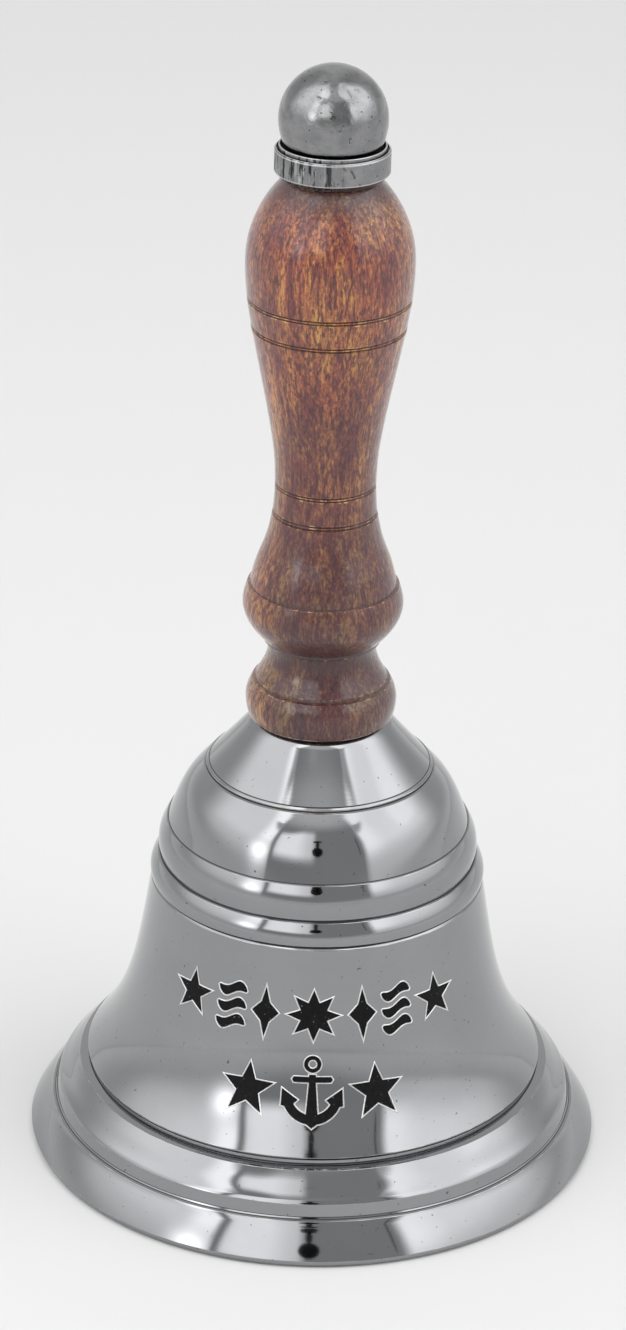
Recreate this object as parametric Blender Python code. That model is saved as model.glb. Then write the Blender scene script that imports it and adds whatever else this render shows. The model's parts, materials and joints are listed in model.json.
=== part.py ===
"""Hand bell with a turned wooden grip: a ship's desk bell, rung by hand.

Blender 4.5, metres, +Z up.  The origin is the centre of the bell's mouth, on the plane that the rim
stands on, and +Z runs up the bell's axis.  Sizes below are in millimetres.
Run with: blender --background --python part.py
"""

import math

import bmesh
import bpy
from mathutils import Matrix, Vector

MM = 0.001

# ---- Driving dimensions, in millimetres -----------------------------------------------------------
FIT = 0.3                       # gap kept between pieces that touch

MOUTH_RADIUS = 45.85            # widest point of the lip
RIM_OUTER, RIM_INNER = 45.0, 41.9   # flat ring that the bell stands on
CROWN_Z = 73.2                  # flat top of the bell, under the grip
CROWN_RADIUS = 10.6
CEILING_Z = 70.4                # flat underside of the crown, inside the bell
CEILING_RADIUS = 9.6

ROD_RADIUS = 2.5                # M5 tie rod through the whole handle
ROD_HOLE = ROD_RADIUS + FIT
ROD_TIP = 0.5                   # chamfer at each end of the rod

GRIP_BOTTOM = CROWN_Z + FIT
GRIP_TOP = 161.4
GRIP_BORE = 2.9
SCRIBE_DEPTH, SCRIBE_WIDTH = 0.28, 0.5   # the four lines cut round the grip

COLLAR_BOTTOM = GRIP_TOP + FIT
COLLAR_RADIUS, COLLAR_RIM, COLLAR_LIP = 8.7, 166.1, 166.65
CUP_FLOOR, CUP_RADIUS = 164.3, 7.7
BALL_RADIUS, BALL_CENTRE = 8.2, 170.5
BALL_DROP = 1.1                 # how far the ball's lower half is drawn out
BALL_SEAT = CUP_FLOOR + FIT     # flat foot of the ball, in the collar's cup
BALL_HOLE_TOP = 172.8

WASHER_RADIUS, WASHER_THICK = 7.5, 1.0
NUT_ACROSS_FLATS, NUT_HEIGHT, LOCK_NUT_HEIGHT = 8.0, 4.0, 2.7

STIRRUP_THICK, STIRRUP_WIDTH, STIRRUP_INSIDE = 1.5, 8.0, 5.2   # strip, its width, half the gap inside
STIRRUP_BEND = 2.2              # outer radius of the two bends
STIRRUP_LEG_END = 49.6
PIN_Z, PIN_RADIUS = 54.0, 1.4
PIN_HOLE = PIN_RADIUS + FIT
PIN_HEAD_RADIUS, PIN_HEAD_HEIGHT = 2.5, 1.3

BARREL_RADIUS, BARREL_HALF = 3.3, STIRRUP_INSIDE - FIT
SHANK_RADIUS = 1.6
CLAPPER_BALL_RADIUS, CLAPPER_BALL_Z = 7.0, 12.5
SHANK_END = CLAPPER_BALL_Z - 1.0

# The stack of hardware under the crown, from the top down.
WASHER_TOP = CEILING_Z - FIT
NUT_TOP = WASHER_TOP - WASHER_THICK - FIT
STIRRUP_TOP = NUT_TOP - NUT_HEIGHT - FIT
LOCK_NUT_TOP = STIRRUP_TOP - STIRRUP_THICK - FIT
ROD_BOTTOM = LOCK_NUT_TOP - LOCK_NUT_HEIGHT - 0.9
ROD_TOP = BALL_HOLE_TOP - 0.6

BELL_SEGMENTS, GRIP_SEGMENTS, SMALL_SEGMENTS = 48, 32, 20

# ---- Materials: colour, metallic, roughness -------------------------------------------------------
MATERIALS = {
    "nickel_plate": ((0.62, 0.62, 0.61), 1.0, 0.16),
    "turned_wood": ((0.36, 0.15, 0.07), 0.0, 0.42),
    "worn_nickel_plate": ((0.45, 0.44, 0.42), 1.0, 0.30),
    "steel": ((0.50, 0.50, 0.50), 1.0, 0.35),
    "brass": ((0.72, 0.52, 0.24), 1.0, 0.30),
}


def material(name):
    """The Principled material of this name, made the first time it is asked for."""
    found = bpy.data.materials.get(name)
    if found:
        return found
    colour, metallic, roughness = MATERIALS[name]
    made = bpy.data.materials.new(name)
    made.use_nodes = True
    shader = made.node_tree.nodes["Principled BSDF"]
    shader.inputs["Base Color"].default_value = (*colour, 1.0)
    shader.inputs["Metallic"].default_value = metallic
    shader.inputs["Roughness"].default_value = roughness
    return made


# ---- Outlines: lists of (radius, height) ----------------------------------------------------------
def smooth(points, steps=2):
    """A Catmull-Rom curve through the points, with this many spans between each pair."""
    padded = [points[0], *points, points[-1]]
    found = []
    for a, b, c, d in zip(padded, padded[1:], padded[2:], padded[3:]):
        for i in range(steps):
            t = i / steps
            found.append(
                tuple(
                    0.5 * (2 * q + (r - p) * t + (2 * p - 5 * q + 4 * r - s) * t**2 + (3 * q - p - 3 * r + s) * t**3)
                    for p, q, r, s in zip(a, b, c, d)
                )
            )
    return [*found, points[-1]]


def arc(centre, radius, start, end, steps, stretch=1.0):
    """Points round a centre, from one angle to another in degrees, with the heights stretched."""
    angles = [math.radians(start + (end - start) * i / steps) for i in range(steps + 1)]
    return [(centre[0] + radius * math.cos(a), centre[1] + radius * stretch * math.sin(a)) for a in angles]


def scribed(z, radius):
    """A V-shaped line cut into the surface at height z, where the grip has this radius."""
    half = SCRIBE_WIDTH / 2
    return [(radius, z - half), (radius - SCRIBE_DEPTH, z), (radius, z + half)]


def bell_outline():
    """The bell's wall as a closed outline: up the outside, over the crown, and down the inside."""
    lip = [(RIM_OUTER, 0.0), (45.7, 0.4), (MOUTH_RADIUS, 0.95), (45.1, 2.5), (44.1, 4.0), (42.4, 6.2)]
    wall = [(41.75, 6.5), (41.25, 8.8)]
    ovolo = [(40.5, 9.7), (39.3, 11.2), (37.8, 12.75)]
    groove = [(36.85, 12.9), (36.45, 13.5)]
    waist = smooth([(36.6, 14.1), (33.9, 18.0), (31.55, 22.5), (29.95, 27.0), (27.95, 36.0), (26.45, 45.2)])
    scribe = [(26.15, 45.5)]
    lower_band = [(26.45, 45.8), (26.55, 46.9), (26.2, 48.2), (25.5, 49.3)]
    upper_band = [(25.1, 49.45), (25.3, 51.0), (25.05, 53.0), (24.15, 55.0)]
    dome = smooth([(23.75, 55.2), (22.5, 58.5), (20.9, 61.5), (18.25, 64.55)])
    shoulder = [(17.75, 64.75), (17.75, 65.1), (CROWN_RADIUS + 0.3, CROWN_Z - 0.4), (CROWN_RADIUS - 0.2, CROWN_Z)]
    hole = [(ROD_HOLE, CROWN_Z), (ROD_HOLE, CEILING_Z)]
    inside = [
        (CEILING_RADIUS, CEILING_Z),
        *smooth([(13.7, 66.0), (18.8, 60.0), (21.3, 55.0), (24.2, 45.0), (26.2, 33.0)], 1),
        *smooth([(28.9, 22.5), (33.7, 13.0), (38.7, 5.5), (RIM_INNER, 0.0)]),
    ]
    return [*lip, *wall, *ovolo, *groove, *waist, *scribe, *lower_band, *upper_band, *dome, *shoulder, *hole, *inside]


def grip_outline():
    """The turned grip: a foot bead, a cove, a belly, a slender neck and the swell that fills the palm."""
    foot = [(11.0, GRIP_BOTTOM), *smooth([(11.45, 74.0), (11.85, 76.2), (11.55, 78.2), (10.75, 79.6)])]
    cove = [(10.25, 79.8), *smooth([(10.2, 80.3), (9.0, 82.6), (8.5, 85.0), (8.75, 86.4)])]
    fillet = [(9.25, 86.6), (9.3, 87.1)]
    belly = smooth([(9.5, 87.3), (11.5, 89.6), (12.5, 92.6), (11.75, 95.7)])
    neck = [(11.35, 95.95), *smooth([(11.3, 96.5), (10.6, 99.2), (9.0, 103.5), (8.13, 107.4)])]
    lower_lines = [*scribed(107.9, 8.07), (7.82, 110.6), *scribed(112.4, 7.76)]
    palm = smooth([(7.85, 115.2), (8.6, 121.5), (10.0, 129.0), (11.65, 137.2)])
    upper_lines = [*scribed(138.2, 11.83), (12.2, 140.4), *scribed(142.7, 12.5)]
    head = smooth([(12.75, 145.0), (12.75, 149.6), (11.7, 154.4), (9.8, 158.2), (7.3, GRIP_TOP)])
    bore = [(GRIP_BORE, GRIP_TOP), (GRIP_BORE, GRIP_BOTTOM)]
    return [*foot, *cove, *fillet, *belly, *neck, *lower_lines, *palm, *upper_lines, *head, *bore]


def collar_outline():
    """A cup washer: chamfered below, with a fine groove inside its rim and a raised lip round the cup."""
    outside = [(COLLAR_RADIUS - 0.8, COLLAR_BOTTOM), (COLLAR_RADIUS, COLLAR_BOTTOM + 0.8)]
    rim = [(COLLAR_RADIUS, COLLAR_RIM - 0.3), (COLLAR_RADIUS - 0.2, COLLAR_RIM), (8.35, COLLAR_RIM)]
    groove = [(8.3, COLLAR_RIM - 0.4), (8.12, COLLAR_RIM - 0.4)]
    lip = [(8.05, COLLAR_LIP), (CUP_RADIUS + 0.15, COLLAR_LIP)]
    cup = [(CUP_RADIUS, CUP_FLOOR), (ROD_HOLE, CUP_FLOOR), (ROD_HOLE, COLLAR_BOTTOM)]
    return [*outside, *rim, *groove, *lip, *cup]


def finial_ball_outline():
    """A ball nut: a drawn-out lower half with a flat foot, and a blind hole for the rod."""
    seat_angle = math.degrees(math.asin((BALL_SEAT - BALL_CENTRE) / (BALL_RADIUS * BALL_DROP)))
    lower = arc((0, BALL_CENTRE), BALL_RADIUS, seat_angle, 0, 5, BALL_DROP)
    ball = [*lower, *arc((0, BALL_CENTRE), BALL_RADIUS, 0, 90, 9)[1:]]
    ball[-1] = (0.0, BALL_CENTRE + BALL_RADIUS)
    hole = [(0.0, BALL_HOLE_TOP), (ROD_HOLE, BALL_HOLE_TOP), (ROD_HOLE, BALL_SEAT)]
    return [*hole, *ball]


def clapper_ball_outline():
    """A ball with a blind hole from above for the shank."""
    hole_radius = SHANK_RADIUS + FIT
    top_angle = math.degrees(math.acos(hole_radius / CLAPPER_BALL_RADIUS))
    ball = arc((0, CLAPPER_BALL_Z), CLAPPER_BALL_RADIUS, -90, top_angle, 14)
    ball[0] = (0.0, CLAPPER_BALL_Z - CLAPPER_BALL_RADIUS)
    return [*ball, (hole_radius, SHANK_END - FIT), (0.0, SHANK_END - FIT)]


def washer_outline():
    low = WASHER_TOP - WASHER_THICK
    return [(ROD_HOLE, low), (WASHER_RADIUS, low), (WASHER_RADIUS, WASHER_TOP), (ROD_HOLE, WASHER_TOP)]


def rod_outline():
    low = [(0.0, ROD_BOTTOM), (ROD_RADIUS - ROD_TIP, ROD_BOTTOM), (ROD_RADIUS, ROD_BOTTOM + ROD_TIP)]
    high = [(ROD_RADIUS, ROD_TOP - ROD_TIP), (ROD_RADIUS - ROD_TIP, ROD_TOP), (0.0, ROD_TOP)]
    return [*low, *high]


# ---- Building solids ------------------------------------------------------------------------------
def finish(name, mesh_data, slot, parent=None, smooth_angle=35):
    """Turns a bmesh into a named object with its material, shaded smooth between its sharp edges."""
    bmesh.ops.remove_doubles(mesh_data, verts=mesh_data.verts, dist=0.00001)
    bmesh.ops.recalc_face_normals(mesh_data, faces=mesh_data.faces)
    mesh = bpy.data.meshes.new(name)
    mesh_data.to_mesh(mesh)
    mesh_data.free()
    mesh.shade_smooth()
    mesh.set_sharp_from_angle(angle=math.radians(smooth_angle))
    mesh.materials.append(material(slot))
    made = bpy.data.objects.new(name, mesh)
    bpy.context.collection.objects.link(made)
    if parent:
        made.parent = parent
        made.matrix_parent_inverse = parent.matrix_world.inverted()
    return made


def turned(name, outline, slot, segments=SMALL_SEGMENTS, parent=None):
    """A solid of revolution about the Z axis.  An outline that touches the axis starts and ends on it."""
    shape = bmesh.new()
    corners = [shape.verts.new((r * MM, 0.0, z * MM)) for r, z in outline]
    edges = [shape.edges.new(pair) for pair in zip(corners, corners[1:])]
    if outline[0][0] > 0:
        edges.append(shape.edges.new((corners[-1], corners[0])))
    bmesh.ops.spin(
        shape, geom=[*corners, *edges], cent=(0, 0, 0), axis=(0, 0, 1), angle=math.tau, steps=segments, use_merge=True
    )
    return finish(name, shape, slot, parent)


def extruded(name, polygon, direction, slot, parent=None):
    """A flat polygon, given as 3-D points in millimetres, extruded along a direction."""
    shape = bmesh.new()
    face = shape.faces.new([shape.verts.new(Vector(p) * MM) for p in polygon])
    grown = bmesh.ops.extrude_face_region(shape, geom=[face])
    moved = [v for v in grown["geom"] if isinstance(v, bmesh.types.BMVert)]
    bmesh.ops.translate(shape, verts=moved, vec=Vector(direction) * MM)
    return finish(name, shape, slot, parent)


def rod_along_y(name, radius, half, z, slot, parent=None, segments=SMALL_SEGMENTS):
    """A cylinder across the bell, centred on its axis."""
    shape = bmesh.new()
    turn = Matrix.Translation((0, 0, z * MM)) @ Matrix.Rotation(math.pi / 2, 4, "X")
    bmesh.ops.create_cone(
        shape, cap_ends=True, segments=segments, radius1=radius * MM, radius2=radius * MM, depth=2 * half * MM, matrix=turn
    )
    return finish(name, shape, slot, parent)


def boolean(target, tool, operation):
    """Joins or cuts the target with a helper object, which is hidden and kept out of renders."""
    step = target.modifiers.new(f"{operation.lower()} {tool.name}", "BOOLEAN")
    step.object, step.operation, step.solver = tool, operation, "EXACT"
    tool.hide_render = True
    tool.display_type = "WIRE"


# ---- The pieces -----------------------------------------------------------------------------------
def hex_nut(name, top, height, slot="steel"):
    """A hexagon nut on the tie rod, with its corners turned off at both faces."""
    corner = NUT_ACROSS_FLATS / 2 / math.cos(math.radians(30))
    ring = [(corner * math.cos(math.radians(a)), corner * math.sin(math.radians(a)), top - height) for a in range(0, 360, 60)]
    nut = extruded(name, ring, (0, 0, height), slot)
    face, chamfer = NUT_ACROSS_FLATS / 2 - 0.1, 0.45
    outline = [
        (ROD_HOLE, top - height),
        (face, top - height),
        (corner + 0.1, top - height + chamfer),
        (corner + 0.1, top - chamfer),
        (face, top),
        (ROD_HOLE, top),
    ]
    boolean(nut, turned(f"{name}_turning", outline, slot), "INTERSECT")
    return nut


def stirrup(name, parent):
    """The strip bent into a U that hangs, free to turn, on the tie rod and carries the clapper's pin."""
    outer = STIRRUP_INSIDE + STIRRUP_THICK
    top, bend = STIRRUP_TOP, STIRRUP_BEND
    inner_bend = bend - STIRRUP_THICK
    left = [(-outer, STIRRUP_LEG_END), *reversed(arc((-outer + bend, top - bend), bend, 90, 180, 4))]
    right = [*reversed(arc((outer - bend, top - bend), bend, 0, 90, 4)), (outer, STIRRUP_LEG_END)]
    inside_right = [
        (STIRRUP_INSIDE, STIRRUP_LEG_END),
        *arc((STIRRUP_INSIDE - inner_bend, top - bend), inner_bend, 0, 90, 2),
    ]
    inside_left = [(-y, z) for y, z in reversed(inside_right)]
    section = [*left, *right, *inside_right, *inside_left]
    half = STIRRUP_WIDTH / 2
    strip = extruded(name, [(-half, y, z) for y, z in section], (STIRRUP_WIDTH, 0, 0), "steel", parent)
    rounding = bmesh.new()
    rounding.from_mesh(strip.data)
    ends = [
        e
        for e in rounding.edges
        if all(abs(v.co.z / MM - STIRRUP_LEG_END) < 0.01 for v in e.verts) and abs(e.verts[0].co.x - e.verts[1].co.x) < 1e-6
    ]
    bmesh.ops.bevel(rounding, geom=ends, offset=(half - 0.2) * MM, segments=5, profile=0.5, affect="EDGES")
    rounding.to_mesh(strip.data)
    rounding.free()
    rod_hole = turned(
        f"{name}_rod_hole", [(0, top - 4), (ROD_HOLE, top - 4), (ROD_HOLE, top + 2), (0, top + 2)], "steel", parent=parent
    )
    boolean(strip, rod_hole, "DIFFERENCE")
    boolean(strip, rod_along_y(f"{name}_pin_hole", PIN_HOLE, outer + 2, PIN_Z, "steel", parent), "DIFFERENCE")
    return strip


def hanger_pin(name, parent):
    """The rivet across the stirrup, with a domed head outside each leg."""
    leg = STIRRUP_INSIDE + STIRRUP_THICK + FIT
    dome = [(PIN_HEAD_RADIUS * math.cos(a), leg + PIN_HEAD_HEIGHT * math.sin(a)) for a in (0, 0.5, 1.0)]
    half = [(PIN_RADIUS, leg), *dome, (0.0, leg + PIN_HEAD_HEIGHT)]
    outline = [(r, -y) for r, y in reversed(half)] + half
    pin = turned(name, outline, "steel", 16)
    lay_down = Matrix.Translation((0, 0, PIN_Z * MM)) @ Matrix.Rotation(math.pi / 2, 4, "X")
    pin.data.transform(lay_down)
    pin.parent = parent
    pin.matrix_parent_inverse = parent.matrix_world.inverted()
    return pin


def clapper_shank(name, parent):
    """The clapper's stem: a cross barrel that turns on the pin, with the rod brazed into it."""
    barrel = rod_along_y(name, BARREL_RADIUS, BARREL_HALF, PIN_Z, "brass", parent)
    stem = [(0.0, SHANK_END), (SHANK_RADIUS, SHANK_END), (SHANK_RADIUS, PIN_Z - 4.2), (2.3, PIN_Z - 2.6), (0.0, PIN_Z - 2.6)]
    boolean(barrel, turned(f"{name}_stem", stem, "brass", 16, parent), "UNION")
    boolean(barrel, rod_along_y(f"{name}_bore", PIN_HOLE, BARREL_HALF + 2, PIN_Z, "brass", parent), "DIFFERENCE")
    return barrel


def joint_empty(name, z):
    """An empty on a joint's axis, which the moving pieces hang from."""
    empty = bpy.data.objects.new(name, None)
    bpy.context.collection.objects.link(empty)
    empty.location = (0, 0, z * MM)
    bpy.context.view_layer.update()
    return empty


def main():
    for old in list(bpy.data.objects):
        bpy.data.objects.remove(old)

    turned("bell_shell", bell_outline(), "nickel_plate", BELL_SEGMENTS)
    turned("handle_grip", grip_outline(), "turned_wood", GRIP_SEGMENTS)
    turned("finial_collar", collar_outline(), "worn_nickel_plate", GRIP_SEGMENTS)
    turned("finial_ball", finial_ball_outline(), "worn_nickel_plate", GRIP_SEGMENTS)
    turned("tie_rod", rod_outline(), "steel")
    turned("crown_washer", washer_outline(), "steel")
    hex_nut("crown_nut", NUT_TOP, NUT_HEIGHT)
    hex_nut("hanger_lock_nut", LOCK_NUT_TOP, LOCK_NUT_HEIGHT)

    swivel = joint_empty("clapper_swivel", STIRRUP_TOP)
    stirrup("hanger_stirrup", swivel)
    hanger_pin("hanger_pin", swivel)

    swing = joint_empty("clapper_swing", PIN_Z)
    clapper_shank("clapper_shank", swing)
    turned("clapper_ball", clapper_ball_outline(), "brass", parent=swing)


main()
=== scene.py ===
"""Looks for the hand bell: nickel plate, turned hardwood, worn finial, hanger and clapper.

Outlines are in millimetres as (radius, height), in the CAD's frame.  Everything else is in metres.
"""

import json
import math

import bmesh
import bpy
import numpy as np
from mathutils import Matrix, Vector


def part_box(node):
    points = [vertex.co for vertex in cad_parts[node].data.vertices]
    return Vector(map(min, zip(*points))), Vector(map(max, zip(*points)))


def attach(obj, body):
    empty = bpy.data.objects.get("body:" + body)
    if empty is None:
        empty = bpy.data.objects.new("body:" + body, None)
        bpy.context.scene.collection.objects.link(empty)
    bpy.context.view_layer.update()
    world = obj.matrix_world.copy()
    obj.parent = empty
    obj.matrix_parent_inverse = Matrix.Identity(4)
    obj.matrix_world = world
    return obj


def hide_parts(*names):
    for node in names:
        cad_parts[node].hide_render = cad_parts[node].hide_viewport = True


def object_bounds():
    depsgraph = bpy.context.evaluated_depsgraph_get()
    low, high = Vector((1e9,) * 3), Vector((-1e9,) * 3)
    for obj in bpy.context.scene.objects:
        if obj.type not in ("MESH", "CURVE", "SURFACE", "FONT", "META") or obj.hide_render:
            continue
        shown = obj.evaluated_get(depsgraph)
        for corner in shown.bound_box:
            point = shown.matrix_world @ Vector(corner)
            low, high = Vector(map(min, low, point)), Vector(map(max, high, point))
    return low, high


MM = 0.001
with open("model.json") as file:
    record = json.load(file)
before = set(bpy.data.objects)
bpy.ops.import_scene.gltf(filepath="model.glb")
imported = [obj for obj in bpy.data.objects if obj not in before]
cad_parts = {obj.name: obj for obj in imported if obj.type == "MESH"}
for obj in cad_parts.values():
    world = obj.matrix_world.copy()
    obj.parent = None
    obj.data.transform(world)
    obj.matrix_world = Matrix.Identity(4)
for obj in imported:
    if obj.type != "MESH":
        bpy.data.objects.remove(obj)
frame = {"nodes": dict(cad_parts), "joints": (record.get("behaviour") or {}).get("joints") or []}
CAD_BOX = [[float(x) for x in corner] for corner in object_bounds()]


# ---- Sizes, read from the frame -------------------------------------------------------------------
def span(node):
    """(largest radius, lowest height, highest height) of a turned CAD node, in millimetres."""
    low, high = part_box(node)
    return high.x / MM, low.z / MM, high.z / MM


MOUTH, _, CROWN_Z = span("bell_shell")
GRIP_SWELL, GRIP_BOTTOM, GRIP_TOP = span("handle_grip")
COLLAR_RADIUS, COLLAR_BOTTOM, COLLAR_TOP = span("finial_collar")
BALL_RADIUS, BALL_SEAT, BALL_TOP = span("finial_ball")
WASHER_RADIUS, WASHER_BOTTOM, WASHER_TOP = span("crown_washer")
ROD_RADIUS, ROD_BOTTOM, ROD_TOP = span("tie_rod")
STRIKER_RADIUS, STRIKER_BOTTOM, _ = span("clapper_ball")
SHANK_BOTTOM = span("clapper_shank")[1]
SWING_Z = next(j["pos_m"][2] for j in frame["joints"] if j["name"] == "clapper_swing") / MM
PIN_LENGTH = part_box("hanger_pin")[1].y / MM
PIN_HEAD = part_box("hanger_pin")[1].x / MM
ROD_HOLE = ROD_RADIUS + 0.3
SHANK_RADIUS = 1.6
THREAD_PITCH, THREAD_DEPTH = 0.8, 0.4


# ---- Outlines -------------------------------------------------------------------------------------
def spline(points, spans=24):
    """A natural cubic curve through the points, cut into equal spans of its parameter."""
    p = np.array(points, float)
    t = np.concatenate([[0], np.cumsum(np.linalg.norm(np.diff(p, axis=0), axis=1))])
    n, h = len(p), np.diff(t)
    system, right = np.eye(n), np.zeros((n, 2))
    for i in range(1, n - 1):
        system[i, i - 1 : i + 2] = h[i - 1], 2 * (h[i - 1] + h[i]), h[i]
        right[i] = 6 * ((p[i + 1] - p[i]) / h[i] - (p[i] - p[i - 1]) / h[i - 1])
    bend = np.linalg.solve(system, right)
    found = []
    for x in np.linspace(0, t[-1], spans + 1):
        i = min(max(int(np.searchsorted(t, x)) - 1, 0), n - 2)
        a, b = t[i + 1] - x, x - t[i]
        curve = (bend[i] * a**3 + bend[i + 1] * b**3) / (6 * h[i])
        line = (p[i] / h[i] - bend[i] * h[i] / 6) * a + (p[i + 1] / h[i] - bend[i + 1] * h[i] / 6) * b
        found.append(tuple(curve + line))
    return found


def arc(centre, radius, start, end, steps, squash=1.0):
    """Points round a centre, from one angle to another in degrees, with the heights squashed."""
    angles = np.radians(np.linspace(start, end, steps + 1))
    return [(centre[0] + radius * math.cos(a), centre[1] + radius * squash * math.sin(a)) for a in angles]


SHARPEST_TURN = 2.4                # radians, past which a corner is rounded no further back
ROUND_SHARE, FADE_SHARE = 0.42, 0.07   # the most of an edge that its corner and the wear's end may take


def rounded(outline, radius, spans=3, sharper_than=16, fade=0.14):
    """Rounds the corners of a closed outline, which has its material on the left.

    Returns the points, and for each how far it is on an edge: 1 on an outer edge, -1 in an inner corner.
    A point just before and just after each corner ends the edge's wear, painted highlight and painted shade
    there.
    """
    corners = [Vector(p) for p in outline]
    points, edges = [], []
    for before, here, after in zip([corners[-1], *corners[:-1]], corners, [*corners[1:], corners[0]]):
        arriving, leaving = here - before, after - here
        turn = math.atan2(arriving.cross(leaving), arriving.dot(leaving))
        on_axis = here.x < 1e-6
        if on_axis or abs(math.degrees(turn)) < sharper_than:
            points.append(tuple(here))
            edges.append(0.0)
            continue
        shorter = min(ROUND_SHARE * arriving.length, ROUND_SHARE * leaving.length)
        back = min(radius * math.tan(min(abs(turn), SHARPEST_TURN) / 2), shorter)
        start, end = here - arriving.normalized() * back, here + leaving.normalized() * back
        points.append(tuple(start - arriving.normalized() * min(fade, FADE_SHARE * arriving.length)))
        edges.append(0.0)
        for i in range(spans + 1):
            t = i / spans
            points.append(tuple(start * (1 - t) ** 2 + here * 2 * t * (1 - t) + end * t**2))
            edges.append(math.copysign(1.0, turn))
        points.append(tuple(end + leaving.normalized() * min(fade, FADE_SHARE * leaving.length)))
        edges.append(0.0)
    return points, edges


# The bell's waist, from the lower groove up to the fine line under the bands.  The ornament lies on it.
WAIST = spline([(36.65, 14.1), (33.9, 18.0), (31.55, 22.5), (29.95, 27.0), (27.95, 36.0), (26.45, 45.2)], 48)

LIP_BOW, LIP_ANGLES = 32.0, (29.5, 40.0)   # the lip's slightly bowed cone: its radius of curve and its lean
CEILING_Z = 70.4                           # the inside of the crown
LINE_APART, LINE_HALF_WIDTH, LINE_DEPTH = 0.22, 0.16, 0.26   # the grip's scribed lines, from their middle


def bell_outline():
    roll = spline([(MOUTH - 0.8, 0.0), (MOUTH - 0.2, 0.3), (MOUTH, 0.85)], 8)
    low_angle = math.radians(LIP_ANGLES[0])
    centre = (MOUTH - LIP_BOW * math.cos(low_angle), 1.1 - LIP_BOW * math.sin(low_angle))
    lip = [*roll, *arc(centre, LIP_BOW, *LIP_ANGLES, 10)]
    corner = [(42.35, 6.2), (41.9, 6.35)]
    wall = [(41.72, 6.65), (41.5, 7.6), (41.28, 8.6)]
    ovolo = spline([(41.05, 9.0), (40.35, 9.75), (39.2, 11.15), (37.85, 12.65)], 20)
    groove = [(37.2, 12.8), (36.42, 13.0), (36.35, 13.7)]
    scribe = [(26.32, 45.3), (26.08, 45.52), (26.36, 45.74)]
    lower_band = spline([(26.48, 45.85), (26.58, 46.8), (26.25, 48.0), (25.45, 49.35)], 16)
    upper_band = spline([(25.05, 49.5), (25.3, 51.1), (25.05, 53.0), (24.05, 55.1)], 20)
    dome = spline([(23.75, 55.25), (22.5, 58.5), (20.9, 61.5), (18.25, 64.55)], 36)
    fine_line = [(17.85, 64.75), (17.9, 65.05), (17.6, 65.3)]
    shoulder = spline([(17.4, 65.35), (14.4, 68.7), (11.0, 72.75)], 14)
    crown = [(10.4, CROWN_Z), (ROD_HOLE, CROWN_Z)]
    foot = [*lip, *corner, *wall, *ovolo, *groove]
    return [*foot, *WAIST, *scribe, *lower_band, *upper_band, *dome, *fine_line, *shoulder, *crown]


def bell_inside():
    ceiling = [(ROD_HOLE, CEILING_Z), (9.6, CEILING_Z)]
    hollow = [(13.7, 66.0), (18.8, 60.0), (21.3, 55.0), (24.2, 45.0), (26.2, 33.0)]
    flare = [(28.9, 22.5), (33.7, 13.0), (38.7, 5.5), (MOUTH - 3.3, 0.0)]
    return [*ceiling, *spline([*hollow, *flare], 40)]


def scribed(z, radius, slope=0.0):
    """Two fine V-shaped lines cut side by side round the grip."""
    cuts = []
    for middle in (z - LINE_APART, z + LINE_APART):
        surface = radius + slope * (middle - z)
        low, high = middle - LINE_HALF_WIDTH, middle + LINE_HALF_WIDTH
        cuts += [(surface, low), (surface - LINE_DEPTH, middle), (surface, high)]
    return cuts


def grip_outline():
    foot = spline([(11.4, GRIP_BOTTOM + 0.35), (11.8, 75.9), (11.6, 77.9), (10.85, 79.55)], 18)
    cove = [(10.3, 79.8), *spline([(10.25, 80.2), (9.15, 82.3), (8.5, 84.9), (8.8, 86.3)], 18)]
    fillet = [(9.2, 86.5), (9.3, 87.05)]
    belly = spline([(9.55, 87.2), (11.5, 89.6), (12.5, 92.6), (11.8, 95.75)], 24)
    neck = [(11.35, 95.9), *spline([(11.35, 96.3), (10.6, 99.2), (9.1, 103.3), (8.15, 107.5)], 24)]
    between = [(7.87, 110.0)]
    palm = spline([(7.8, 112.9), (7.95, 116.5), (8.6, 121.5), (10.0, 129.0), (11.75, 137.8)], 40)
    above = [(12.17, 140.4)]
    swell = [(12.55, 143.1), (GRIP_SWELL, 147.3), (12.55, 151.4)]
    head = spline([*swell, (11.35, 155.3), (9.6, 158.5), (7.3, GRIP_TOP)], 40)
    bore = [(ROD_HOLE + 0.1, GRIP_TOP), (ROD_HOLE + 0.1, GRIP_BOTTOM), (11.0, GRIP_BOTTOM)]
    lower_lines = [*scribed(107.9, 8.05, -0.1), *between, *scribed(112.5, 7.78)]
    upper_lines = [*scribed(138.2, 11.83, 0.15), *above, *scribed(142.7, 12.5, 0.1)]
    return [*foot, *cove, *fillet, *belly, *neck, *lower_lines, *palm, *upper_lines, *head, *bore]


def collar_outline():
    low, top, radius = COLLAR_BOTTOM, COLLAR_TOP, COLLAR_RADIUS
    outside = [(radius - 0.8, low), (radius, low + 0.85), (radius, top - 0.8)]
    rim = [(radius - 0.2, top - 0.55), (8.4, top - 0.55)]
    groove = [(8.34, top - 1.0), (8.12, top - 1.0)]
    lip = [(8.08, top), (7.85, top)]
    cup = [(7.72, top - 2.35), (ROD_HOLE, top - 2.35), (ROD_HOLE, low)]
    return [*outside, *rim, *groove, *lip, *cup]


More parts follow.
